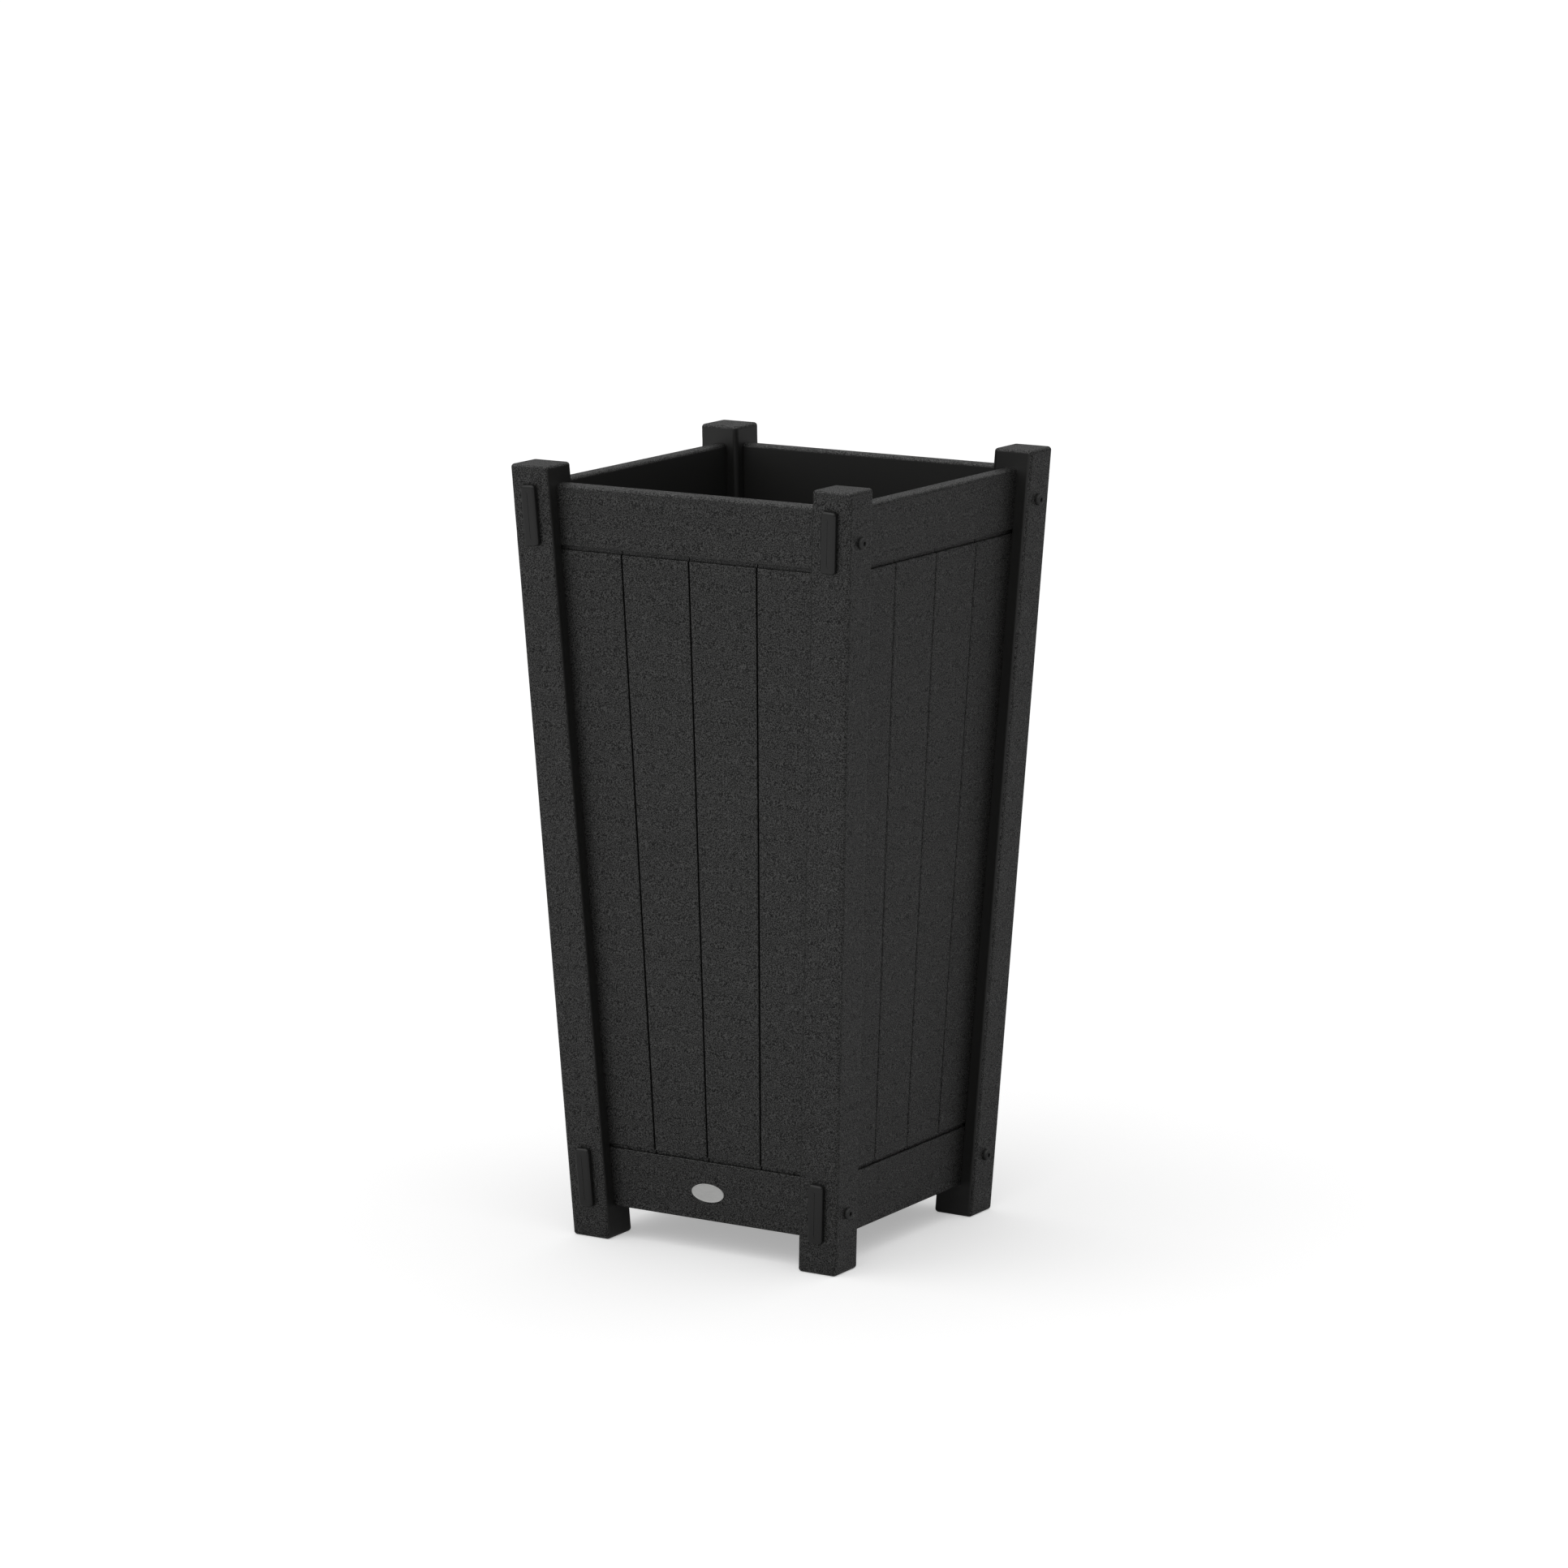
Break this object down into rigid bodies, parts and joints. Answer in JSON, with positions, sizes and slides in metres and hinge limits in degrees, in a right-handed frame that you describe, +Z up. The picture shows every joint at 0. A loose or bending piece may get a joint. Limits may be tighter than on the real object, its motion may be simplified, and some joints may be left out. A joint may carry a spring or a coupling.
{
  "type": "litter bin",
  "caption": "Square open-topped litter bin of black plastic lumber: leaning corner posts, slatted walls that spread to the mouth, and a lift-out liner with a bail handle.",
  "frame": {"origin": "on the floor under the middle of the bin", "axes": "+Z up; -Y is the front, the side that carries the blank oval plate; +X is to the right as seen from the front"},
  "size_m": [0.459, 0.4664, 0.9144],
  "materials": {
    "plastic_lumber": "black embossed fine speckle",
    "cap_plastic": "smooth satin moulded black",
    "blackened_steel": "black coated, satin",
    "stainless_steel": "plain",
    "brass": "plain turned",
    "plate_aluminium": "light grey satin",
    "liner_plastic": "dark grey moulded, satin",
    "galvanised_wire": "dull zinc"
  },
  "bodies": {
    "bin_frame": {"bottom_rail_back": "plastic_lumber", "bottom_rail_front": "plastic_lumber", "bottom_rail_left": "plastic_lumber", "bottom_rail_right": "plastic_lumber", "cap_bottom_back_left": "cap_plastic", "cap_bottom_back_right": "cap_plastic", "cap_bottom_front_left": "cap_plastic", "cap_bottom_front_right": "cap_plastic", "cap_top_back_left": "cap_plastic", "cap_top_back_right": "cap_plastic", "cap_top_front_left": "cap_plastic", "cap_top_front_right": "cap_plastic", "cleat_screws": "stainless_steel", "floor_board_1": "plastic_lumber", "floor_board_2": "plastic_lumber", "floor_board_3": "plastic_lumber", "floor_cleat_left": "plastic_lumber", "floor_cleat_right": "plastic_lumber", "floor_screws": "stainless_steel", "name_plate": "plate_aluminium", "panel_bolts_left": "blackened_steel", "panel_bolts_right": "blackened_steel", "post_back_left": "plastic_lumber", "post_back_right": "plastic_lumber", "post_front_left": "plastic_lumber", "post_front_right": "plastic_lumber", "rail_screws": "stainless_steel", "slat_back_1": "plastic_lumber", "slat_back_2": "plastic_lumber", "slat_back_3": "plastic_lumber", "slat_back_4": "plastic_lumber", "slat_front_1": "plastic_lumber", "slat_front_2": "plastic_lumber", "slat_front_3": "plastic_lumber", "slat_front_4": "plastic_lumber", "slat_left_1": "plastic_lumber", "slat_left_2": "plastic_lumber", "slat_left_3": "plastic_lumber", "slat_left_4": "plastic_lumber", "slat_right_1": "plastic_lumber", "slat_right_2": "plastic_lumber", "slat_right_3": "plastic_lumber", "slat_right_4": "plastic_lumber", "threaded_inserts": "brass", "top_rail_back": "plastic_lumber", "top_rail_front": "plastic_lumber", "top_rail_left": "plastic_lumber", "top_rail_right": "plastic_lumber"},
    "liner": {"liner": "liner_plastic"},
    "liner_bail": {"liner_bail": "galvanised_wire"}
  },
  "joints": [
    {"name": "liner_lift", "type": "slide", "parent": "bin_frame", "child": "liner", "axis": [0, 0, 1], "range_m": [0, 0.84]},
    {"name": "bail_swing", "type": "hinge", "parent": "liner", "child": "liner_bail", "pos_m": [0, 0, 0.77], "axis": [1, 0, 0], "range_deg": [0, 228]}
  ]
}
